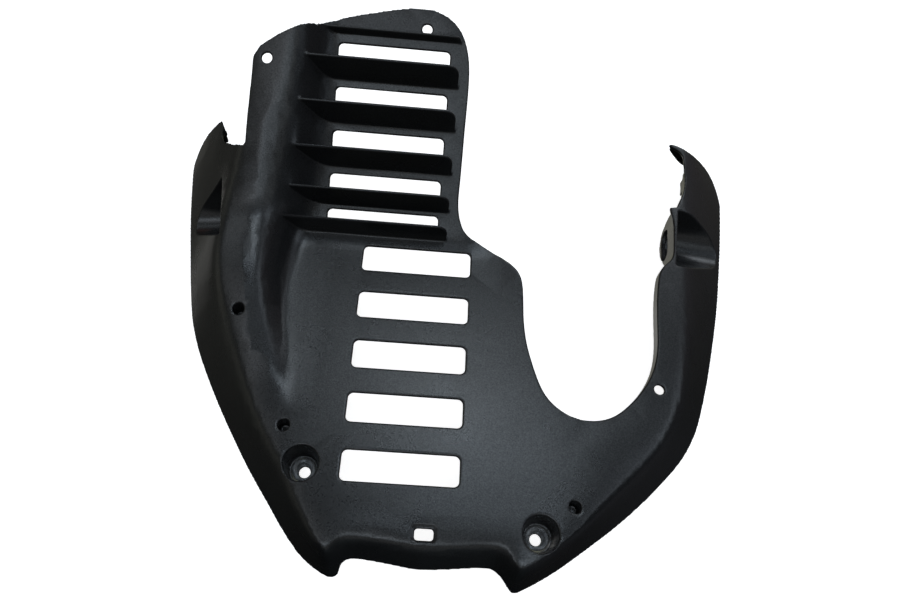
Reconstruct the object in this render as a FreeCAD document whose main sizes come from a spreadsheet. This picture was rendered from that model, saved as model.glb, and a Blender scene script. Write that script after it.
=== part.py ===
import FreeCAD, Part
import math
import os

# Moulded under-cover (skid plate) of a motor scooter: one thin-walled piece.
# A flat slotted floor, a louvred panel that rises behind it, a raised band
# beside the louvres, flared side walls that end in two wings, a U-shaped
# cut-out, two screw wells and two side recesses with bolt lugs.
# Working frame: x across, y towards the louvres, z = 0 on the outer face of
# the floor.  Everything is then moved so that the rim stands on z = 0 and the
# middle of the outline is on the z axis.

doc = FreeCAD.newDocument("skid_plate_doc")
V = FreeCAD.Vector

# ------------------------------------------------------------------ sheet
sheet = doc.addObject("Spreadsheet::Sheet", "sheet")
DIMS = [
    ("shift_x", -30.45), ("shift_y", 33.89), ("rim_drop", 34.0),
    ("wall", 2.6), ("louvre_tilt", 31.4), ("bend_line", 8.2), ("bend_half", 12.0),
    ("band_height", 24.0), ("edge_blend", 7.0),
    ("floor_slot_width", 74.0), ("floor_slot_height", 19.4), ("floor_slot_pitch", 35.72),
    ("floor_slot_narrowing", 0.94), ("floor_slot_shrink", 0.23), ("slot_corner", 3.2),
    ("louvre_slot_left", -64.4), ("louvre_slot_width", 77.0),
    ("fin_thick", 1.7), ("fin_right", 19.4), ("fin_corner", 8.0),
    ("well_mouth", 21.6), ("well_seat", 17.2), ("left_well_depth", 16.5), ("right_well_depth", 13.5),
    ("well_wall", 2.3), ("dish_mouth", 15.4), ("dish_depth", 5.6), ("well_floor", 2.6), ("well_hole", 7.0),
    ("ear_hole", 7.0), ("arm_hole", 6.6), ("screw_hole", 7.2), ("screw_depth", 11.0),
    ("screw_boss", 11.8), ("screw_boss_length", 14.0),
    ("right_slot_length", 26.5), ("right_slot_width", 12.6), ("left_slot_length", 24.0), ("left_slot_width", 12.0), ("lug_thick", 3.2),
    ("right_recess_radius", 16.2), ("left_recess_radius", 12.0),
    ("return_depth", 9.5), ("return_thick", 2.4),
    ("key_hole_width", 10.8), ("key_hole_height", 6.1), ("key_hole_corner", 1.6),
    ("key_step_width", 14.0), ("key_step_height", 9.4), ("key_step_depth", 1.1), ("key_step_corner", 2.6),
    ("front_edge", -22.4), ("notch_corner", 5.0),
]
for row, (name, value) in enumerate(DIMS, start=1):
    sheet.set("A%d" % row, name)
    sheet.set("B%d" % row, repr(value))
    sheet.setAlias("B%d" % row, name)
doc.recompute()


def dim(name):
    return float(sheet.get(name))


OX, OY, OZ = dim("shift_x"), dim("shift_y"), dim("rim_drop")
RIM = -OZ


def vec(x, y, z=0.0):
    return V(x + OX, y + OY, z + OZ)


# ------------------------------------------------- outer face as a height
def smooth_curve(pts, n=6):
    """points on a smooth curve through the given ones"""
    out = []
    p = [pts[0]] + list(pts) + [pts[-1]]
    for i in range(1, len(p) - 2):
        a, b, c, d = p[i - 1], p[i], p[i + 1], p[i + 2]
        for k in range(n):
            t = k / n
            out.append(tuple(
                0.5 * (2 * b[j] + (c[j] - a[j]) * t + (2 * a[j] - 5 * b[j] + 4 * c[j] - d[j]) * t * t
                       + (3 * b[j] - a[j] - 3 * c[j] + d[j]) * t ** 3) for j in range(len(b))))
    out.append(tuple(pts[-1]))
    return out


def look_up(table, u):
    if u <= table[0][0]:
        return table[0][1]
    for (a, va), (b, vb) in zip(table[:-1], table[1:]):
        if u <= b:
            return va + (vb - va) * (u - a) / (b - a)
    return table[-1][1]


def ease(u):
    u = min(1.0, max(0.0, u))
    return u * u * (3 - 2 * u)


def blend_min(a, b, k):
    d = k - abs(a - b)
    return min(a, b) - (d * d / (4 * k) if d > 0 else 0.0)


def signed_distance(line, x, y):
    """distance from a line (positive on its left), with the nearest piece of it"""
    best, found = 1e18, None
    last = len(line) - 2
    for i in range(last + 1):
        ax, ay, bx, by = line[i][0], line[i][1], line[i + 1][0], line[i + 1][1]
        dx, dy = bx - ax, by - ay
        t = ((x - ax) * dx + (y - ay) * dy) / (dx * dx + dy * dy)
        if i > 0:
            t = max(0.0, t)
        if i < last:
            t = min(1.0, t)
        ex, ey = x - ax - dx * t, y - ay - dy * t
        d2 = ex * ex + ey * ey
        if d2 < best - 1e-12:
            best, found = d2, (i, t, dx * (y - ay) - dy * (x - ax))
    i, t, side = found
    d = math.sqrt(best)
    return (d if side > 0 else -d), i, min(1.0, max(0.0, t))


# foot of the raised band (y, x) and its crest (y, x), from the front end to the louvre end
FOOT = smooth_curve([(-150, -55), (-134, -60), (-119, -65), (-106.5, -69.5), (-89.4, -75), (-75, -79),
                     (-60.3, -82.4), (-44.9, -84.4), (-28.9, -84.8), (-13.3, -83.2), (7.1, -79.5),
                     (26.6, -71), (48.6, -67.7), (74.5, -67.2), (99.6, -68), (126, -68.3), (135, -68.3)])
CREST = smooth_curve([(-150, -64), (-134, -70), (-113.6, -77.5), (-102.2, -82.5), (-88, -88.7), (-72.6, -94.4),
                      (-59, -99.2), (-41.8, -103.2), (-23.3, -105.6), (4.9, -107.9), (23.6, -107.2),
                      (44.5, -104.6), (66.1, -100.1), (83.4, -96.6), (92.7, -94.9), (110, -92.5), (135, -90)])
# upper edge of the side and front walls (x, y, z): left side, front edge with its two feet, right side
BEND = smooth_curve([(-116.6, 120, 92), (-117, 95, 78), (-117.9, 77, 67), (-118.7, 62, 57.8), (-120.3, 47, 48.2),
                     (-122.9, 33, 39.8), (-125.8, 19, 32.2), (-128.2, 5, 26.6), (-129.0, -9, 24.6),
                     (-127.8, -25, 22.4), (-124, -43.3, 18.9), (-116, -68.7, 11.1), (-107, -89.2, 5),
                     (-97, -111.2, 0.8), (-86.8, -129.3, 0), (-77.4, -144, 0), (-68, -158, 0),
                     (-59.2, -173.1, 0), (-49.8, -188, 0), (-43.5, -196, 0), (-38, -199.6, 0),
                     (-33.8, -197, 0), (-29.5, -193.6, 0), (-21.5, -192.3, 0), (-5.7, -193.6, 0),
                     (10.2, -195.9, 0), (18, -196.2, 0), (33.6, -195, 0), (49.5, -193.4, 0),
                     (58.5, -193.6, 0), (64.6, -197.6, 0), (69, -203.4, 0), (74.2, -204.2, 0),
                     (81, -200.6, 0), (88.5, -195.6, 0), (105.2, -182.1, 0), (119.6, -168.4, 0),
                     (136.5, -152, 0), (147, -141.7, 0), (159.7, -127.6, 0), (171, -108.9, 0),
                     (179.4, -84.1, 0), (185.4, -51.3, 0), (191, -6.4, 0), (196.5, 30, 0),
                     (202, 70, 0), (206, 100, 0), (208.5, 125, 0)], 4)
# lower rim of the same walls (x, y), at the level of the rim
RIM_LINE = smooth_curve([(-180.5, 125), (-182.3, 100), (-181.6, 85.9), (-180.2, 74.7), (-174, 40), (-166.2, 4.6),
                         (-160.5, -20), (-153.5, -46.4), (-146, -65.9), (-135.9, -85.8), (-121.2, -110.8),
                         (-104.5, -136.4), (-93, -152.8), (-81, -168.4), (-68.5, -184.8), (-55.7, -198.8),
                         (-43.9, -206.9), (-36, -209.8), (-31.5, -207.6), (-27, -205.2), (-20, -204.6),
                         (-5.7, -206.2), (10.2, -208.3), (18, -208.6), (33.6, -207.4), (49.5, -205.8),
                         (57, -206.2), (63.6, -209.8), (69.5, -212.6), (76, -211.9), (95.8, -200.9),
                         (115, -187.6), (135, -172.8), (150, -160.4), (164, -147.6), (176, -135.5),
                         (186.4, -123.2), (194.4, -110.3), (200.8, -95.9), (209.5, -69.8), (216.4, -45.4),
                         (223, -20), (228.2, 3.6), (236, 45), (241.5, 80), (244.5, 104), (246, 130)], 4)

TILT = math.tan(math.radians(dim("louvre_tilt")))
YB, RB, HB = dim("bend_line"), dim("bend_half"), dim("band_height")
BLEND = dim("edge_blend")


def crease(x, y):
    """very shallow fold that runs from the lower edge of the cut-out towards the front"""
    u = -0.452 * (x - 112.0) - 0.892 * (y + 114.0)
    d = 0.892 * (x - 112.0) - 0.452 * (y + 114.0)
    if not -14.0 < u < 46.0 or abs(d) > 18.0:
        return 0.0
    lip = 0.22 * min(1.0, max(0.0, 1 - u / 28.0)) * math.exp(-((d + 5.2 - 0.13 * u) / 3.3) ** 2)
    dip = 0.30 * min(1.0, max(0.0, 1 - u / 46.0)) * math.exp(-((d - 1.2 + 0.03 * u) / 3.5) ** 2)
    return lip - dip


def floor_height(x, y):
    """flat floor, then a rounded bend into the rising louvre panel (left part only)"""
    d = y - YB
    z = TILT * (0.0 if d < -RB else d if d > RB else (d + RB) ** 2 / (4 * RB))
    return z * (1 - ease((x - 60.0) / 50.0)) + crease(x, y)


# section of the band's inner slope: share of the way from foot to crest, share of the height
SLOPE = smooth_curve([(-0.3, 0.0), (-0.15, 0.004), (0.0, 0.03), (0.2, 0.17), (0.4, 0.46), (0.6, 0.79), (0.75, 0.925),
                      (0.88, 0.985), (1.0, 1.0), (1.12, 1.0)], 8)


def band_rise(x, y):
    """raised band on the left: hollow at its foot, steep, then rounded at its crest"""
    xf, xc = look_up(FOOT, y), look_up(CREST, y)
    rise = HB * ease((y + 124.0) / 118.0)
    t = (xf - x) / (xf - xc)
    if t >= 1:
        return rise - 0.10 * min(1.0, rise / HB) * (xc - x) * ease((xc - x) / 12.0)
    return rise * look_up(SLOPE, t)


def crown(x, y):
    return floor_height(x, y) + (band_rise(x, y) if x < -35 else 0.0)


def wall_height(x, y):
    inner, i, t = signed_distance(BEND, x, y)
    outer, _, _ = signed_distance(RIM_LINE, x, y)
    zb = BEND[i][2] + (BEND[i + 1][2] - BEND[i][2]) * t
    return zb - (zb - RIM) * (-inner) / max(6.0, outer - inner)


def outer_height(x, y):
    return blend_min(crown(x, y), wall_height(x, y), BLEND)


WALL = dim("wall")


def inner_height(x, y):
    e = 0.6
    gx = (outer_height(x + e, y) - outer_height(x - e, y)) / (2 * e)
    gy = (outer_height(x, y + e) - outer_height(x, y - e)) / (2 * e)
    return outer_height(x, y) - WALL * min(3.2, math.sqrt(1 + gx * gx + gy * gy))


def skin(height, x0, x1, nx, y0, y1, ny, low):
    """solid under a free-form face laid through a grid of heights"""
    rows = []
    for i in range(nx + 1):
        x = x0 + (x1 - x0) * i / nx
        rows.append([vec(x, y0 + (y1 - y0) * j / ny, max(-75.0, height(x, y0 + (y1 - y0) * j / ny)))
                     for j in range(ny + 1)])
    surf = Part.BSplineSurface()
    surf.interpolate(rows)
    return surf.toShape().extrude(V(0, 0, low))


under_outer = doc.addObject("Part::Feature", "under_outer_face")
under_outer.Shape = skin(outer_height, -200.0, 262.0, 132, -228.0, 158.0, 110, -260.0)
under_inner = doc.addObject("Part::Feature", "under_inner_face")
under_inner.Shape = skin(inner_height, -206.0, 268.0, 118, -234.0, 164.0, 99, -320.0)
for o in (under_outer, under_inner):
    if not isinstance(o.Shape, Part.Solid):
        o.Shape = Part.Solid(o.Shape.Shells[0])

# ----------------------------------------------------------------- outline
LOUVRE_EDGE = [(46.3, 7), (40.2, 10.6), (35.1, 13.6), (31.3, 17.2), (28.2, 23), (26.2, 31.3), (26.1, 44), (26.4, 56.9),
               (26.8, 83), (27, 107.7), (24.9, 122.2), (21.6, 130.2), (18.7, 134.6), (14.9, 138.2), (7.5, 142.5),
               (1.1, 144.5), (-7.2, 145.2), (-14.8, 145), (-24.4, 143.9), (-35.9, 141.6), (-57.8, 137.0),
               (-64.0, 135.2), (-69.2, 132.8), (-73.9, 128.6), (-78.2, 122.8), (-82.4, 118.2), (-87, 114.6),
               (-91.8, 111.9), (-97.4, 109.4), (-106.9, 104.9), (-113.6, 100.8)]
EAR_EDGE = [(-117.7, 95.6), (-118.3, 78.8), (-119.0, 64.8), (-119.3, 46.4)]
LEFT_END = [(-120.8, 45.2), (-127.0, 49.8), (-135.7, 58.6), (-140.6, 63.9), (-143.4, 68.4), (-144.8, 72.8), (-144.8, 76.2),
            (-145.2, 80.0), (-147.2, 84.6)]
LEFT_TIP = [(-151.5, 87.9), (-159.3, 92.2), (-170, 96.3), (-175.2, 95.8), (-180.5, 89), (-183.5, 79)]
RIGHT_TIP = [(243.6, 80), (241.6, 92), (238.0, 102.6), (232.2, 110), (221.2, 113.2), (206.5, 113.6), (198, 117.6), (193.4, 118.9)]
HOOK = [(191.4, 118.2), (195.8, 114.7), (198.8, 112.2), (200.9, 109.0), (201.5, 104.4)]
WING_EDGE = [(200.8, 92.8), (200.3, 86.0), (198.8, 77.0), (196.6, 70.2), (193.4, 63.4), (190.4, 56.9)]
LUG_EDGE = [(185.2, 56.4), (185.5, 51.5), (186.0, 47.0), (186.1, 42.8), (185.7, 36.1), (184.2, 23.1), (182.7, 14.3), (180.2, 9.4)]
CUT_OUT = [(175.4, 4.6), (171.8, -0.6), (170.0, -6.5), (165.2, -43), (161.2, -70.9), (156.6, -82.2), (149.5, -93),
           (139.9, -103.4), (131.1, -110.2), (123, -113.4), (113.8, -114.3), (105.1, -112.9), (100.1, -110.6),
           (93.3, -105.8), (87.5, -99), (81.6, -85.1), (75.8, -62.2), (74.2, -43.8), (73.9, -22.9),
           (72.4, -13.7), (69.5, -8.1), (64, -2.9), (55, 2.3)]


def spline_edge(pts):
    c = Part.BSplineCurve()
    c.interpolate([vec(x, y, RIM) for x, y in pts])
    return c.toShape()


def chain(parts):
    """closed wire from lists of points; a list of two points is a straight run"""
    edges = []
    for k, pts in enumerate(parts):
        nxt = parts[(k + 1) % len(parts)]
        if len(pts) == 2:
            edges.append(Part.LineSegment(vec(*pts[0], RIM), vec(*pts[1], RIM)).toShape())
        else:
            edges.append(spline_edge(pts))
        if math.dist(pts[-1], nxt[0]) > 1e-6:
            edges.append(Part.LineSegment(vec(*pts[-1], RIM), vec(*nxt[0], RIM)).toShape())
    return Part.Wire(edges)


outline = doc.addObject("Part::Feature", "outline")
outline.Shape = Part.Face(chain([
    LOUVRE_EDGE, EAR_EDGE, LEFT_END, LEFT_TIP,
    [(-196, 70), (-196, -226)], [(258, -226), (258, 76)],
    RIGHT_TIP, HOOK, WING_EDGE, LUG_EDGE, CUT_OUT]))
trim = doc.addObject("Part::Extrusion", "trim")
trim.Base = outline
trim.DirMode = "Custom"
trim.Dir = V(0, 0, 1)
trim.LengthFwd = 170.0
trim.Solid = True
doc.recompute()


def common(name, a, b):
    o = doc.addObject("Part::Common", name)
    o.Base, o.Tool = a, b
    return o


def cut(name, a, b):
    o = doc.addObject("Part::Cut", name)
    o.Base, o.Tool = a, b
    return o


def fuse(name, objs):
    o = doc.addObject("Part::MultiFuse", name)
    o.Shapes = objs
    return o


blank = common("blank", under_outer, trim)
shell = cut("shell", blank, under_inner)
doc.recompute()
print("shell", shell.Shape.isValid(), len(shell.Shape.Solids), round(shell.Shape.Volume), shell.Shape.BoundBox)


# ------------------------------------------------------------ louvre fins
# front foot line y, height above the panel at that line
FINS = [(126.2, 6.2), (99.75, 20.3), (74.3, 20.1), (48.8, 19.9), (26.5, 18.0), (8.9, 16.6)]


def fin(k, y, rise):
    z0 = floor_height(-20, y)
    zt = z0 + rise
    r = min(dim("fin_corner"), rise * 0.6)
    xr = dim("fin_right")
    ym = y + dim("fin_thick") / 2
    x = -62.0
    while crown(x, ym) < zt and x > -112:
        x -= 0.5
    pts = [(xr, z0 - 1.3), (xr, zt - r)]
    pts += [(xr - r + r * math.cos(a), zt - r + r * math.sin(a)) for a in [math.pi / 2 * i / 8 for i in range(1, 9)]]
    pts.append((x - 1.2, zt))
    n = 10
    for i in range(n + 1):
        xx = x - 1.2 + (-60.0 - x + 1.2) * i / n
        pts.append((xx, min(zt - 0.5, crown(xx, ym)) - 1.5))
    pts.append((-56.0, z0 - 1.3))
    sk = doc.addObject("Sketcher::SketchObject", "fin_profile_%d" % k)
    sk.Placement = FreeCAD.Placement(vec(0, y, 0), FreeCAD.Rotation(V(1, 0, 0), 90))
    for a, b in zip(pts, pts[1:] + pts[:1]):
        sk.addGeometry(Part.LineSegment(V(a[0], a[1], 0), V(b[0], b[1], 0)), False)
    ex = doc.addObject("Part::Extrusion", "fin_%d" % k)
    ex.Base = sk
    ex.DirMode = "Custom"
    ex.Dir = V(0, 1, 0)
    ex.setExpression("LengthFwd", "sheet.fin_thick")
    ex.Solid = True
    return ex


fins = [fin(k, y, h) for k, (y, h) in enumerate(FINS)]


# --------------------------------------------------------- return of the U
def offset_line(pts, d):
    out = []
    for i in range(len(pts)):
        a, b = pts[max(0, i - 1)], pts[min(len(pts) - 1, i + 1)]
        tx, ty = b[0] - a[0], b[1] - a[1]
        n = math.hypot(tx, ty)
        out.append((pts[i][0] - ty / n * d, pts[i][1] + tx / n * d))
    return out


def strip(name, pts, thick, z0, z1):
    """wall that follows a line of the outline, on the material side"""
    f = doc.addObject("Part::Feature", name + "_plan")
    face = Part.Face(chain([pts, offset_line(pts, thick)[::-1]]))
    face.translate(V(0, 0, z0 - RIM))
    f.Shape = face
    ex = doc.addObject("Part::Extrusion", name + "_run")
    ex.Base = f
    ex.DirMode = "Custom"
    ex.Dir = V(0, 0, 1)
    ex.LengthFwd = z1 - z0
    ex.Solid = True
    return common(name, ex, under_outer)


strips = [
    strip("cut_out_return", CUT_OUT, dim("return_thick"), -dim("return_depth"), 8.0),
    strip("wing_return", WING_EDGE[:4], dim("return_thick"), -6.0, 7.0),
    strip("wing_tab", [(201.0, 90.5), (200.5, 84.0), (199.3, 77.6)], 1.5, -12.5, 6.5),
]
# end wall of the right wing, its lower edge rising to the tip
end_run = strip("right_end_run", RIGHT_TIP[3:], dim("return_thick"), -24.0, 8.0)
end_line = doc.addObject("Part::Feature", "right_end_profile")
end_line.Shape = Part.Face(Part.makePolygon([vec(x, 90, z) for x, z in (
    (189.0, 6.0), (191.0, -2.0), (192.5, -4.4), (196.4, -8.7), (201.0, -12.3), (204.6, -14.4), (207.9, -15.7),
    (214.0, -17.5), (236.0, -23.0), (240.0, -20.0), (240.0, 8.0), (189.0, 8.0), (189.0, 6.0))]))
end_block = doc.addObject("Part::Extrusion", "right_end_block")
end_block.Base = end_line
end_block.DirMode = "Custom"
end_block.Dir = V(0, 1, 0)
end_block.LengthFwd = 40.0
end_block.Solid = True
strips.append(common("right_end_return", end_run, end_block))
# short end plate under the tip of the left wing, seen past the wing's edge
tip_line = doc.addObject("Part::Feature", "left_end_profile")
tip_line.Shape = Part.Face(Part.makePolygon([vec(x, 76.0, z) for x, z in (
    (-154.0, 1.0), (-143.6, 8.7), (-143.8, 13.4), (-142.7, 16.6), (-143.4, 20.2), (-143.9, 27.0), (-154.0, 27.0), (-154.0, 1.0))]))
tip_plate = doc.addObject("Part::Extrusion", "left_end_plate")
tip_plate.Base = tip_line
tip_plate.DirMode = "Custom"
tip_plate.Dir = V(0, 1, 0)
tip_plate.LengthFwd = 1.8
tip_plate.Solid = True
strips.append(common("left_end_return", tip_plate, under_outer))
doc.recompute()

# ------------------------------------------------------------------- wells
WELLS = [(-58.4, -151.9), (83.2, -184.1)]
SCREWS = [(-109.4, -60.7), (-71.8, -129.8), (103.5, -167.8)]


def cylinder(name, x, y, z0, radius, height):
    c = doc.addObject("Part::Cylinder", name)
    c.setExpression("Radius", radius)
    c.setExpression("Height", height)
    c.Placement = FreeCAD.Placement(vec(x, y, z0), FreeCAD.Rotation())
    return c


bosses, bores = [], []


def turned(name, x, y, z, profile):
    """solid of revolution about an upright axis; profile in (radius, height) from the axis and back to it"""
    f = doc.addObject("Part::Feature", name + "_half_section")
    edges = []
    for piece in profile:
        pts = [vec(x + r, y, z + h) for r, h in piece]
        edges.append(Part.LineSegment(*pts).toShape() if len(pts) == 2 else Part.Arc(*pts).toShape())
    f.Shape = Part.Face(Part.Wire(edges))
    t = doc.addObject("Part::Revolution", name)
    t.Source = f
    t.Base = vec(x, y, 0)
    t.Axis = V(0, 0, 1)
    t.Angle = 360.0
    t.Solid = True
    return t


# tapered well, a narrow ledge at its foot, then a dished seat round the bolt hole
for k, (x, y) in enumerate(WELLS):
    d = dim(("left_well_depth", "right_well_depth")[k])
    mouth, seat, dish = dim("well_mouth") / 2, dim("well_seat") / 2, dim("dish_mouth") / 2
    hole, low, tw, fl = dim("well_hole") / 2, dim("dish_depth"), dim("well_wall"), dim("well_floor")
    flare = (mouth - seat) / d
    wide, mid = mouth + 4 * flare, (dish + hole) / 2
    boss = turned("well_boss_%d" % k, x, y, 0.0, [
        [(0, 4), (wide + tw + 0.6, 4)], [(wide + tw + 0.6, 4), (seat + tw, -d)],
        [(seat + tw, -d), (seat + tw - 1.0, -d - low * 0.8)],
        [(seat + tw - 1.0, -d - low * 0.8), (hole + tw + 0.6, -d - low - fl)],
        [(hole + tw + 0.6, -d - low - fl), (0, -d - low - fl)], [(0, -d - low - fl), (0, 4)]])
    bosses.append(common("well_wall_%d" % k, boss, under_outer))
    bores.append(turned("well_%d" % k, x, y, 0.0, [
        [(0, 4), (wide, 4)], [(wide, 4), (seat, -d)], [(seat, -d), (dish, -d)],
        [(dish, -d), (mid + 0.9, -d - low * 0.72), (hole, -d - low)],
        [(hole, -d - low), (0, -d - low)], [(0, -d - low), (0, 4)]]))
    bores.append(cylinder("well_hole_%d" % k, x, y, -d - low - 10, "sheet.well_hole / 2", "20"))
for k, (x, y) in enumerate(SCREWS):
    z = crown(x, y)
    b = cylinder("screw_boss_%d" % k, x, y, z - dim("screw_boss_length"), "sheet.screw_boss / 2",
                 "sheet.screw_boss_length + 6")
    bosses.append(common("screw_post_%d" % k, b, under_outer))
    bores.append(cylinder("screw_hole_%d" % k, x, y, z - dim("screw_depth"), "sheet.screw_hole / 2",
                          "sheet.screw_depth + 8"))
bores.append(cylinder("arm_hole", 161.6, -90.4, -20, "sheet.arm_hole / 2", "40"))

# ear holes stand square to the raised panel they pierce
tilt = FreeCAD.Rotation(V(1, 0, 0), dim("louvre_tilt"))
for name, x, y in (("ear_hole_right", -4.5, 133.3), ("ear_hole_left", -108.2, 94.0)):
    c = doc.addObject("Part::Cylinder", name)
    c.setExpression("Radius", "sheet.ear_hole / 2")
    c.Height = 30
    z = crown(x, y)
    c.Placement = FreeCAD.Placement(vec(x, y, z) + tilt.multVec(V(0, 0, -15)), tilt)
    bores.append(c)


# ------------------------------------------------------------------- slots
def round_box(name, x, y, z, lx, ly, lz, corner):
    """upright rounded opening; x and y are its left front corner"""
    b = doc.addObject("Part::Box", name + "_block")
    b.setExpression("Length", lx)
    b.setExpression("Width", ly)
    b.Height = lz
    b.Placement = FreeCAD.Placement(vec(x, y, z), FreeCAD.Rotation())
    doc.recompute()
    f = doc.addObject("Part::Fillet", name)
    f.Base = b
    r = dim(corner)
    f.Edges = [(i + 1, r, r) for i, e in enumerate(b.Shape.Edges)
               if abs(e.BoundBox.ZLength - lz) < 1e-3]
    return f


for k in range(5):
    w = dim("floor_slot_width") - k * dim("floor_slot_narrowing")
    y0 = -k * dim("floor_slot_pitch") - 17.7
    bores.append(round_box("floor_slot_%d" % k, -w / 2, y0, -20,
                           "sheet.floor_slot_width - %d * sheet.floor_slot_narrowing" % k,
                           "sheet.floor_slot_height - %d * sheet.floor_slot_shrink" % k, 40, "slot_corner"))
# louvre slots stand square to the panel: from just behind one fin to a short web in front of the next
TOPS = [121.2, 95.6, 70.1, 44.7, 23.9]
for k, y1 in enumerate(TOPS):
    y0 = FINS[k + 1][0] + dim("fin_thick") + 0.9
    z0, z1 = floor_height(-20, y0), floor_height(-20, y1)
    lean = math.degrees(math.atan2(z1 - z0, y1 - y0))
    slot = round_box("louvre_slot_%d" % k, dim("louvre_slot_left"), y0, 0,
                     "sheet.louvre_slot_width", "%r" % math.hypot(y1 - y0, z1 - z0), 13, "slot_corner")
    turn = FreeCAD.Rotation(V(1, 0, 0), lean)
    slot.Base.Placement = FreeCAD.Placement(
        vec(dim("louvre_slot_left"), y0, z0) + turn.multVec(V(0, 0, -12.0)), turn)
    bores.append(slot)
bores.append(round_box("key_hole", 16.3 - dim("key_hole_width") / 2, -188.0 - dim("key_hole_height") / 2, -20,
                       "sheet.key_hole_width", "sheet.key_hole_height", 40, "key_hole_corner"))
bores.append(round_box("key_step", 16.3 - dim("key_step_width") / 2, -187.6 - dim("key_step_height") / 2,
                       -dim("key_step_depth"), "sheet.key_step_width", "sheet.key_step_height", 20, "key_step_corner"))
# the front wall stops short of the rim between the two feet
ns = doc.addObject("Sketcher::SketchObject", "front_notch_profile")
ns.Placement = FreeCAD.Placement(vec(0, -194, 0), FreeCAD.Rotation(V(1, 0, 0), 90))
top = dim("front_edge")
NOTCH = [(-32.9, RIM - 4), (73.4, RIM - 4), (63.6, top), (-29.7, top)]
for p, q in zip(NOTCH, NOTCH[1:] + NOTCH[:1]):
    ns.addGeometry(Part.LineSegment(V(p[0], p[1], 0), V(q[0], q[1], 0)), False)
nb = doc.addObject("Part::Extrusion", "front_notch_block")
nb.Base = ns
nb.DirMode = "Custom"
nb.Dir = V(0, -1, 0)
nb.LengthFwd = 40.0
nb.Solid = True
doc.recompute()
nf = doc.addObject("Part::Fillet", "front_notch")
nf.Base = nb
r = dim("notch_corner")
nf.Edges = [(i + 1, r, r) for i, e in enumerate(nb.Shape.Edges)
            if abs(e.BoundBox.YLength - 40) < 1e-3 and e.BoundBox.ZMax > nb.Shape.BoundBox.ZMax - 1e-3]
bores.append(nf)


# ----------------------------------------------------- side recesses, lugs
def recess_profile(cs, cz, r, near, far, top):
    """trough section in (along, up): sloped near wall, rounded bottom, steep far wall"""
    a0, a1 = math.radians(270 - near), math.radians(270 + far)
    p0 = (cs + r * math.cos(a0), cz + r * math.sin(a0))
    p1 = (cs + r * math.cos(a1), cz + r * math.sin(a1))
    t0 = (top - p0[1]) / math.sin(math.radians(near))
    t1 = (top - p1[1]) / math.sin(math.radians(far))
    q0 = (p0[0] - t0 * math.cos(math.radians(near)), top)
    q1 = (p1[0] + t1 * math.cos(math.radians(far)), top)
    return p0, (cs, cz - r), p1, q1, q0


def trough(name, origin, along, out, prof, start, length):
    def at(p):
        return vec(origin[0] + along[0] * p[0] + out[0] * start,
                   origin[1] + along[1] * p[0] + out[1] * start, p[1])
    p0, pm, p1, q1, q0 = [at(p) for p in prof]
    w = Part.Wire([Part.Arc(p0, pm, p1).toShape(), Part.LineSegment(p1, q1).toShape(),
                   Part.LineSegment(q1, q0).toShape(), Part.LineSegment(q0, p0).toShape()])
    f = doc.addObject("Part::Feature", name + "_section")
    f.Shape = Part.Face(w)
    ex = doc.addObject("Part::Extrusion", name)
    ex.Base = f
    ex.DirMode = "Custom"
    ex.Dir = V(out[0], out[1], 0)
    ex.LengthFwd = length
    ex.Solid = True
    return ex


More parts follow.
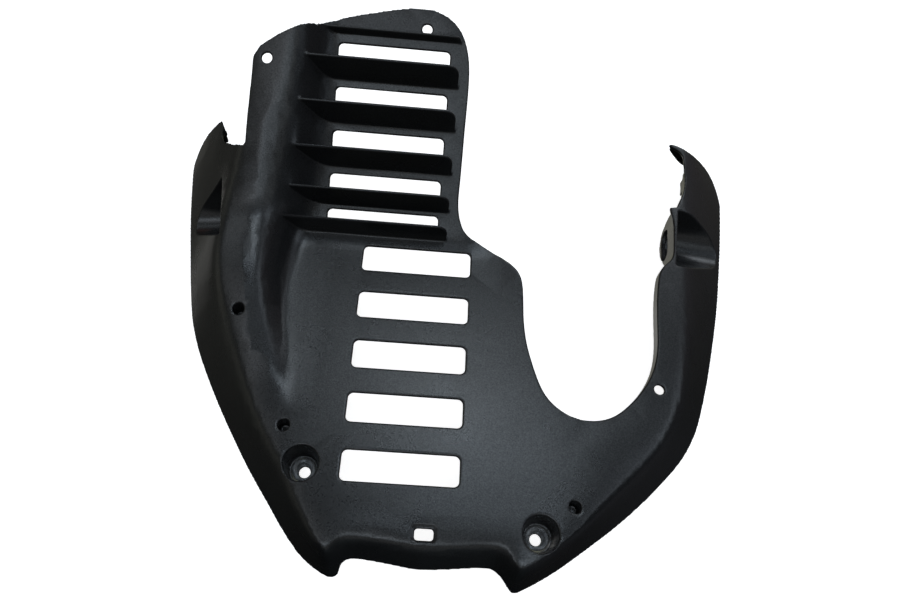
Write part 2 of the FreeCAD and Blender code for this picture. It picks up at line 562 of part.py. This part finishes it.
# lower edge of a lug in (along, up), from its front end to its rear end
LUG = [(-20.5, 2.0), (-19.0, -6.0), (-15.0, -16.0), (-8.4, -23.6), (-1.9, -27.2), (5.6, -29.6), (13.1, -30.6), (20.0, -30.0),
       (24.0, -27.0), (26.2, -22.0), (27.4, -15.0), (28.4, -6.0), (29.0, 2.0)]
recess_walls, recess_cuts = [], []
TW = 2.4
for name, origin, along, out, cs, cz, near, far, hole, slot_name in (
        ("right_recess", (187.4, 28.0), (0.148, 0.989), (0.989, -0.148), 9.9, -13.8, 49.0, 88.0, (7.2, -20.6), "right_slot"),
        ("left_recess", (-134.0, 12.0), (-0.183, 0.983), (-0.983, -0.183), 14.0, -12.0, 54.0, 88.0, (9.0, -12.0), "left_slot")):
    top, R = 60.0, dim(name + "_radius")

    def place(a, o, z):
        return vec(origin[0] + along[0] * a + out[0] * o, origin[1] + along[1] * a + out[1] * o, z)

    body = trough(name + "_body", origin, along, out, recess_profile(cs, cz, R + TW, near, far, top),
                  -dim("lug_thick"), 70.0)
    recess_walls.append((name + "_wall", body))
    if name == "right_recess":
        f = doc.addObject("Part::Feature", name + "_lug_outline")
        c = Part.BSplineCurve()
        c.interpolate([place(a, -dim("lug_thick"), z) for a, z in LUG])
        f.Shape = Part.Face(Part.Wire([c.toShape(), Part.LineSegment(
            place(LUG[-1][0], -dim("lug_thick"), LUG[-1][1]), place(LUG[0][0], -dim("lug_thick"), LUG[0][1])).toShape()]))
        lug = doc.addObject("Part::Extrusion", name + "_lug")
        lug.Base = f
        lug.DirMode = "Custom"
        lug.Dir = V(out[0], out[1], 0)
        lug.setExpression("LengthFwd", "sheet.lug_thick")
        lug.Solid = True
        recess_walls.append((name + "_lug_plate", lug))
    recess_cuts.append(trough(name, origin, along, out, recess_profile(cs, cz, R, near, far, top), 0.0, 90.0))
    # slotted bolt hole through the lug
    rad = dim(slot_name + "_width") / 2
    half = dim(slot_name + "_length") / 2 - rad
    a0, z0 = hole
    g = doc.addObject("Part::Feature", name + "_bolt_slot_outline")
    g.Shape = Part.Face(Part.Wire([
        Part.LineSegment(place(a0 - half, -18, z0 - rad), place(a0 + half, -18, z0 - rad)).toShape(),
        Part.Arc(place(a0 + half, -18, z0 - rad), place(a0 + half + rad, -18, z0), place(a0 + half, -18, z0 + rad)).toShape(),
        Part.LineSegment(place(a0 + half, -18, z0 + rad), place(a0 - half, -18, z0 + rad)).toShape(),
        Part.Arc(place(a0 - half, -18, z0 + rad), place(a0 - half - rad, -18, z0), place(a0 - half, -18, z0 - rad)).toShape()]))
    slot = doc.addObject("Part::Extrusion", name + "_bolt_slot")
    slot.Base = g
    slot.DirMode = "Custom"
    slot.Dir = V(out[0], out[1], 0)
    slot.LengthFwd = 24.0
    slot.Solid = True
    recess_cuts.append(slot)
doc.recompute()
walls = []
for name, body in recess_walls:
    walls.append(common(name + "_in_skin", body, blank))
doc.recompute()

joined = fuse("joined", [shell] + fins + strips + bosses + walls)
doc.recompute()
print("joined", joined.Shape.isValid(), len(joined.Shape.Solids), round(joined.Shape.Volume))
openings = doc.addObject("Part::Compound", "openings")
openings.Links = bores + recess_cuts
doc.recompute()
plate = cut("skid_plate", joined, openings)
plate.Label = "skid_plate"
doc.recompute()

# ------------------------------------------------------------------ checks
bad = [o.Name for o in doc.Objects if "Invalid" in o.State or "Error" in o.State]
if bad:
    raise RuntimeError("failed objects: " + ", ".join(bad))
s = plate.Shape
print("plate", s.isValid(), s.ShapeType, len(s.Solids), round(s.Volume), s.BoundBox)
if s.isNull() or not s.isValid():
    raise RuntimeError("skid_plate has no valid shape")
if len(s.Solids) != 1:
    raise RuntimeError("skid_plate is not one solid: %s" % [round(x.Volume, 1) for x in s.Solids])
os.makedirs("parts", exist_ok=True)
s.Solids[0].exportStep("parts/skid_plate.step")
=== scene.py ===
import math

import bmesh
import bpy
import numpy as np
from mathutils import Matrix, Vector


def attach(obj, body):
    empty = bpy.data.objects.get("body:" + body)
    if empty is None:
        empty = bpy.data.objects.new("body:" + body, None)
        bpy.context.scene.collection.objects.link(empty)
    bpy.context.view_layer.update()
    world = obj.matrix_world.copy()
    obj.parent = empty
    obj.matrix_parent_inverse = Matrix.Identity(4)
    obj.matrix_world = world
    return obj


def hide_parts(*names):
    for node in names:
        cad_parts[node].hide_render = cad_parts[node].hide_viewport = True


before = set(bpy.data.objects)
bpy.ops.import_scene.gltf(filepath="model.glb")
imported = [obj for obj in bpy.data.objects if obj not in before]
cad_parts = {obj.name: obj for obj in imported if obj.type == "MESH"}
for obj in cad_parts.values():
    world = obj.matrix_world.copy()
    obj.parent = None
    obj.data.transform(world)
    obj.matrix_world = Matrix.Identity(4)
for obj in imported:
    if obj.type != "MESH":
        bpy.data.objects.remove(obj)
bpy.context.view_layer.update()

scene = bpy.context.scene

# where the working frame (z = 0 on the outer face of the floor) lies in the row frame, in millimetres
SHIFT = Vector((-30.45, 33.89, 34.0))


def at(x, y, z):
    """a point of the working frame, in millimetres, as row-frame metres"""
    return (Vector((x, y, z)) + SHIFT) / 1000.0


# ---------------------------------------------------------------- the moulding
# The moulded piece with its edges rounded as a mould leaves them: the solid is
# resampled on a fine lattice, relaxed a little, then thinned where it is flat.
VOXEL = 0.00062
TRIANGLES = 186000
CALM = 16
# crest of the band, in the working frame
CREST = ((-96, 60, 0), (-97, 46, 0), (-103, -17, 0), (-91, -77, 0))
GRAIN = 0.16
MOTTLE = 0.2
ROUGH = (0.255, 0.30)
# Soft lamps round the object: direction, sharpness of the lamp's edge, colour.
LAMPS = (
    # the long box light above the louvred end
    ((0.10, 0.26, 0.96), 350.0, (5.2, 6.2, 7.3)),
    ((0.20, 0.26, 0.94), 350.0, (2.1, 2.4, 2.6)),
    ((0.01, 0.365, 0.93), 350.0, (6.6, 7.4, 8.0)),
    ((0.10, 0.36, 0.93), 350.0, (2.2, 2.4, 2.5)),
    # three round lights above the front
    ((-0.24, -0.24, 0.94), 55.0, (1.73, 1.81, 1.94)),
    ((-0.04, -0.39, 0.92), 55.0, (1.80, 2.09, 2.33)),
    ((0.32, -0.27, 0.91), 55.0, (0.63, 0.67, 0.68)),
    # left, right and back, halfway up
    ((-0.54, -0.06, 0.84), 55.0, (0.71, 0.74, 0.76)),
    ((-0.45, 0.38, 0.81), 55.0, (1.28, 1.39, 1.48)),
    ((0.54, 0.00, 0.84), 55.0, (0.58, 0.66, 0.78)),
    ((0.69, 0.15, 0.71), 55.0, (1.5, 1.7, 1.9)),
    ((0.36, 0.73, 0.58), 55.0, (3.5, 3.8, 4.1)),
    ((-0.40, 0.78, 0.49), 55.0, (0.30, 0.14, 0.12)),
    # wide, weak light from the sides and from below
    ((0.00, -0.86, 0.50), 9.0, (0.42, 0.42, 0.42)),
    ((-0.98, 0.04, 0.20), 9.0, (0.36, 0.36, 0.31)),
    ((0.74, 0.62, 0.25), 9.0, (0.18, 0.16, 0.17)),
    ((0.89, -0.41, -0.20), 9.0, (0.09, 0.09, 0.10)),
    ((0.22, -0.97, -0.07), 9.0, (0.07, 0.09, 0.10)),
    ((0.15, 0.87, -0.48), 9.0, (0.34, 0.35, 0.24)),
    ((-0.10, 0.53, -0.84), 9.0, (0.28, 0.27, 0.25)),
    ((-0.42, 0.40, -0.81), 60.0, (1.8, 1.8, 1.75)),
)


def evaluated(obj):
    dg = bpy.context.evaluated_depsgraph_get()
    return bpy.data.meshes.new_from_object(obj.evaluated_get(dg))


def swap(obj, mesh):
    old = obj.data
    obj.modifiers.clear()
    obj.data = mesh
    bpy.data.meshes.remove(old)


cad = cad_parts["skid_plate"]
bm = bmesh.new()
bm.from_mesh(cad.data)
bmesh.ops.remove_doubles(bm, verts=bm.verts, dist=2e-6)
mesh = bpy.data.meshes.new("moulding_mesh")
bm.to_mesh(mesh)
bm.free()
plate = bpy.data.objects.new("moulding", mesh)
scene.collection.objects.link(plate)

m = plate.modifiers.new("lattice", "REMESH")
m.mode = "VOXEL"
m.voxel_size = VOXEL
m.use_smooth_shade = True
m = plate.modifiers.new("relax", "SMOOTH")
m.factor = 0.5
m.iterations = 5
swap(plate, evaluated(plate))
dense = bpy.data.objects.new("dense", plate.data.copy())
scene.collection.objects.link(dense)

faces = len(plate.data.polygons)
m = plate.modifiers.new("thin", "DECIMATE")
m.decimate_type = "COLLAPSE"
m.ratio = min(1.0, TRIANGLES / (2.0 * faces))
m.use_collapse_triangulate = True
swap(plate, evaluated(plate))
plate.data.shade_smooth()
m = plate.modifiers.new("shading", "DATA_TRANSFER")
m.object = dense
m.use_loop_data = True
m.data_types_loops = {"CUSTOM_NORMAL"}
m.loop_mapping = "POLYINTERP_NEAREST"
swap(plate, evaluated(plate))
bpy.data.objects.remove(dense)
plate.data.materials.clear()

# The shading follows the smooth curved faces: each vertex's normal is averaged with
# its neighbours' a few times. Vertices on a true edge or corner, where the face turns
# quickly, keep theirs and pass nothing on.
me = plate.data
nv, nl, ne = len(me.vertices), len(me.loops), len(me.edges)
corner = np.empty(nl * 3, np.float32)
me.corner_normals.foreach_get("vector", corner)
corner = corner.reshape(nl, 3).astype(float)
which = np.empty(nl, np.int32)
me.loops.foreach_get("vertex_index", which)
place = np.empty(nv * 3, np.float32)
me.vertices.foreach_get("co", place)
place = place.reshape(nv, 3).astype(float)
ends = np.empty(ne * 2, np.int32)
me.edges.foreach_get("vertices", ends)
i, j = ends.reshape(ne, 2).T
normal = np.stack([np.bincount(which, corner[:, k], nv) for k in range(3)], 1)
normal /= np.maximum(np.linalg.norm(normal, axis=1, keepdims=True), 1e-9)
angle = np.degrees(np.arccos(np.clip((normal[i] * normal[j]).sum(1), -1.0, 1.0)))
length = 1000.0 * np.linalg.norm(place[i] - place[j], axis=1)
sharp = (angle > 14.0) & (angle / np.maximum(length, 0.05) > 15.0)
edge = np.zeros(nv, bool)
edge[i[sharp]] = True
edge[j[sharp]] = True
# the long rounded crest of the band is no edge
crest = np.zeros(nv, bool)
for p, q in zip(CREST, CREST[1:]):
    p, q = np.array(at(*p))[:2], np.array(at(*q))[:2]
    along = np.clip(((place[:, :2] - p) @ (q - p)) / ((q - p) @ (q - p)), 0.0, 1.0)
    crest |= np.linalg.norm(place[:, :2] - p - along[:, None] * (q - p), axis=1) < 0.010
crest &= normal[:, 2] > 0.2
edge &= ~crest
first = normal.copy()
for steps, free, limit in ((CALM, ~(edge[i] | edge[j]), 25.0), (2 * CALM, crest[i] & crest[j], 40.0)):
    for step in range(steps):
        turn = np.clip(1.0 - (normal[i] * normal[j]).sum(1), 0.0, 2.0)
        weight = free * np.exp(-turn / (1.0 - math.cos(math.radians(limit))))
        new = normal.copy()
        for k in range(3):
            new[:, k] += np.bincount(i, weight * normal[j, k], nv) + np.bincount(j, weight * normal[i, k], nv)
        normal = new / np.maximum(np.linalg.norm(new, axis=1, keepdims=True), 1e-9)
change = (normal - first) * ~edge[:, None]
corner += change[which]
corner /= np.maximum(np.linalg.norm(corner, axis=1, keepdims=True), 1e-9)
me.normals_split_custom_set(corner.tolist())
print("vertices", nv, "on edges", int(edge.sum()))
print("lattice faces", faces, "kept triangles", len(plate.data.polygons))


# ------------------------------------------------------------------ materials
# the two bolt seats at the bottom of the wells (x, y and upper level in the row frame, metres): no grain
# there, and a painted sheen of light grey metal on the black plastic
SEATS = ((at(-58.4, -151.9, -15.9), 0.0088), (at(83.2, -184.1, -12.9), 0.0088))


def plastic(name):
    """black polypropylene with a fine moulded grain, smooth on the bolt seats, where a light grey metallic
    tint is painted sheen that makes them shine brighter
    """
    mat = bpy.data.materials.new(name)
    mat.use_nodes = True
    nt = mat.node_tree
    bsdf = nt.nodes["Principled BSDF"]
    n, link = nt.nodes.new, nt.links.new
    co = n("ShaderNodeTexCoord")

    def noise(scale, detail, rough=0.5):
        t = n("ShaderNodeTexNoise")
        t.inputs["Scale"].default_value = scale
        t.inputs["Detail"].default_value = detail
        t.inputs["Roughness"].default_value = rough
        link(co.outputs["Object"], t.inputs["Vector"])
        return t.outputs["Fac"]

    def ramp(src, a, b, pos=(0.0, 1.0)):
        r = n("ShaderNodeValToRGB")
        r.color_ramp.elements[0].position, r.color_ramp.elements[1].position = pos
        r.color_ramp.elements[0].color, r.color_ramp.elements[1].color = a, b
        link(src, r.inputs["Fac"])
        return r.outputs["Color"]

    def spread(src, low, high, a=0.3, b=0.7):
        r = n("ShaderNodeMapRange")
        r.inputs["From Min"].default_value, r.inputs["From Max"].default_value = a, b
        r.inputs["To Min"].default_value, r.inputs["To Max"].default_value = low, high
        link(src, r.inputs["Value"])
        return r.outputs["Result"]

    def calc(op, a, b=None, c=None):
        m = n("ShaderNodeMath")
        m.operation = op
        for i, v in enumerate((a, b, c)):
            if v is None:
                continue
            if isinstance(v, (int, float)):
                m.inputs[i].default_value = v
            else:
                link(v, m.inputs[i])
        return m.outputs[0]

    # one on the two seats, nought elsewhere
    parts = n("ShaderNodeSeparateXYZ")
    link(co.outputs["Object"], parts.inputs[0])
    seat = None
    for c, radius in SEATS:
        dx = calc("SUBTRACT", parts.outputs["X"], c.x)
        dy = calc("SUBTRACT", parts.outputs["Y"], c.y)
        r = calc("SQRT", calc("ADD", calc("MULTIPLY", dx, dx), calc("MULTIPLY", dy, dy)))
        inside = calc("MULTIPLY", spread(r, 1.0, 0.0, radius - 0.0006, radius), spread(parts.outputs["Z"], 1.0, 0.0, c.z - 0.0006, c.z))
        seat = inside if seat is None else calc("MAXIMUM", seat, inside)

    # a fine pebbled grain: small bumps, and a fine random speckle in how shiny it is
    pebble = noise(1250.0, 1.0, 0.6)
    speck = noise(1050.0, 1.5, 0.7)
    broad = noise(22.0, 3.0, 0.55)
    bump = n("ShaderNodeBump")
    bump.inputs["Strength"].default_value = GRAIN
    bump.inputs["Distance"].default_value = 0.0003
    link(calc("MULTIPLY", pebble, calc("SUBTRACT", 1.0, seat)), bump.inputs["Height"])
    link(bump.outputs["Normal"], bsdf.inputs["Normal"])

    black = ramp(broad, (0.0095, 0.0101, 0.0108, 1), (0.0135, 0.0142, 0.015, 1), (0.3, 0.7))
    # painted sheen: the smooth black seats are tinted light grey, made partly metallic and fully specular so
    # their highlights come out bright
    painted_seat_sheen = n("ShaderNodeMix")
    painted_seat_sheen.data_type = "RGBA"
    link(seat, painted_seat_sheen.inputs["Factor"])
    link(black, painted_seat_sheen.inputs["A"])
    painted_seat_sheen.inputs["B"].default_value = (0.27, 0.275, 0.28, 1)
    link(painted_seat_sheen.outputs["Result"], bsdf.inputs["Base Color"])
    link(calc("MULTIPLY", seat, 0.75), bsdf.inputs["Metallic"])
    link(calc("MULTIPLY", spread(broad, *ROUGH), spread(seat, 1.0, 0.65, 0.0, 1.0)), bsdf.inputs["Roughness"])
    link(calc("MAXIMUM", spread(speck, 0.5 - MOTTLE, 0.5 + MOTTLE, 0.22, 0.78), seat), bsdf.inputs["Specular IOR Level"])
    bsdf.inputs["IOR"].default_value = 1.49
    return mat


plate.data.materials.append(plastic("grained_black_plastic"))
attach(plate, "root")
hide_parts("skid_plate")


# ---------------------------------------------------------------------- stage
def pale(name, strength):
    mat = bpy.data.materials.new(name)
    mat.use_nodes = True
    b = mat.node_tree.nodes["Principled BSDF"]
    b.inputs["Base Color"].default_value = (0.8, 0.8, 0.8, 1)
    b.inputs["Roughness"].default_value = 0.9
    b.inputs["Specular IOR Level"].default_value = 0.1
    b.inputs["Emission Color"].default_value = (1, 1, 1, 1)
    b.inputs["Emission Strength"].default_value = strength
    return mat


# a bright pale floor and a pale backdrop far behind it: they are seen, and send no light on the part
bpy.ops.mesh.primitive_plane_add(size=12.0, location=(0, 0, -0.0005))
floor = bpy.context.object
floor.name = "floor"
floor.data.materials.append(pale("pale_floor", 0.9))
bpy.ops.mesh.primitive_uv_sphere_add(segments=48, ring_count=24, radius=9.0, location=(0, 0, 0))
backdrop = bpy.context.object
backdrop.name = "backdrop"
backdrop.data.materials.append(pale("pale_backdrop", 0.9))
for o in (floor, backdrop):
    o.visible_diffuse = False
    o.visible_glossy = False
backdrop.visible_shadow = False

world = bpy.data.worlds.new("studio")
scene.world = world
world.use_nodes = True
nt = world.node_tree
sky = nt.nodes.new("ShaderNodeTexCoord")
total = None
for direction, sharp, colour in LAMPS:
    d = nt.nodes.new("ShaderNodeVectorMath")
    d.operation = "DOT_PRODUCT"
    nt.links.new(sky.outputs["Generated"], d.inputs[0])
    d.inputs[1].default_value = Vector(direction).normalized()
    m = nt.nodes.new("ShaderNodeMath")
    m.operation = "MULTIPLY_ADD"
    nt.links.new(d.outputs["Value"], m.inputs[0])
    m.inputs[1].default_value, m.inputs[2].default_value = sharp, -sharp
    e = nt.nodes.new("ShaderNodeMath")
    e.operation = "EXPONENT"
    nt.links.new(m.outputs[0], e.inputs[0])
    c = nt.nodes.new("ShaderNodeVectorMath")
    c.operation = "SCALE"
    c.inputs[0].default_value = colour
    nt.links.new(e.outputs[0], c.inputs["Scale"])
    if total is None:
        total = c.outputs[0]
    else:
        add = nt.nodes.new("ShaderNodeVectorMath")
        add.operation = "ADD"
        nt.links.new(total, add.inputs[0])
        nt.links.new(c.outputs[0], add.inputs[1])
        total = add.outputs[0]
nt.links.new(total, nt.nodes["Background"].inputs["Color"])
nt.nodes["Background"].inputs["Strength"].default_value = 1.0

# --------------------------------------------------------------------- camera
cam_data = bpy.data.cameras.new("camera")
cam_data.sensor_fit = "HORIZONTAL"
cam_data.sensor_width = 36.0
cam_data.lens = 680.0 / 900.0 * 36.0
cam = bpy.data.objects.new("camera", cam_data)
R = [(0.99644097, 0.04471994, 0.07145298), (0.07358977, -0.87490844, -0.47866457), (0.04110897, 0.48221920, -0.87508554)]
eye = at(5.490, -256.587, 399.374)
cam.matrix_world = Matrix((
    (R[0][0], -R[1][0], -R[2][0], eye.x),
    (R[0][1], -R[1][1], -R[2][1], eye.y),
    (R[0][2], -R[1][2], -R[2][2], eye.z),
    (0, 0, 0, 1)))
cam_data.clip_start, cam_data.clip_end = 0.01, 50.0
scene.collection.objects.link(cam)
scene.camera = cam
scene.view_settings.view_transform = "Standard"
scene.view_settings.look = "None"
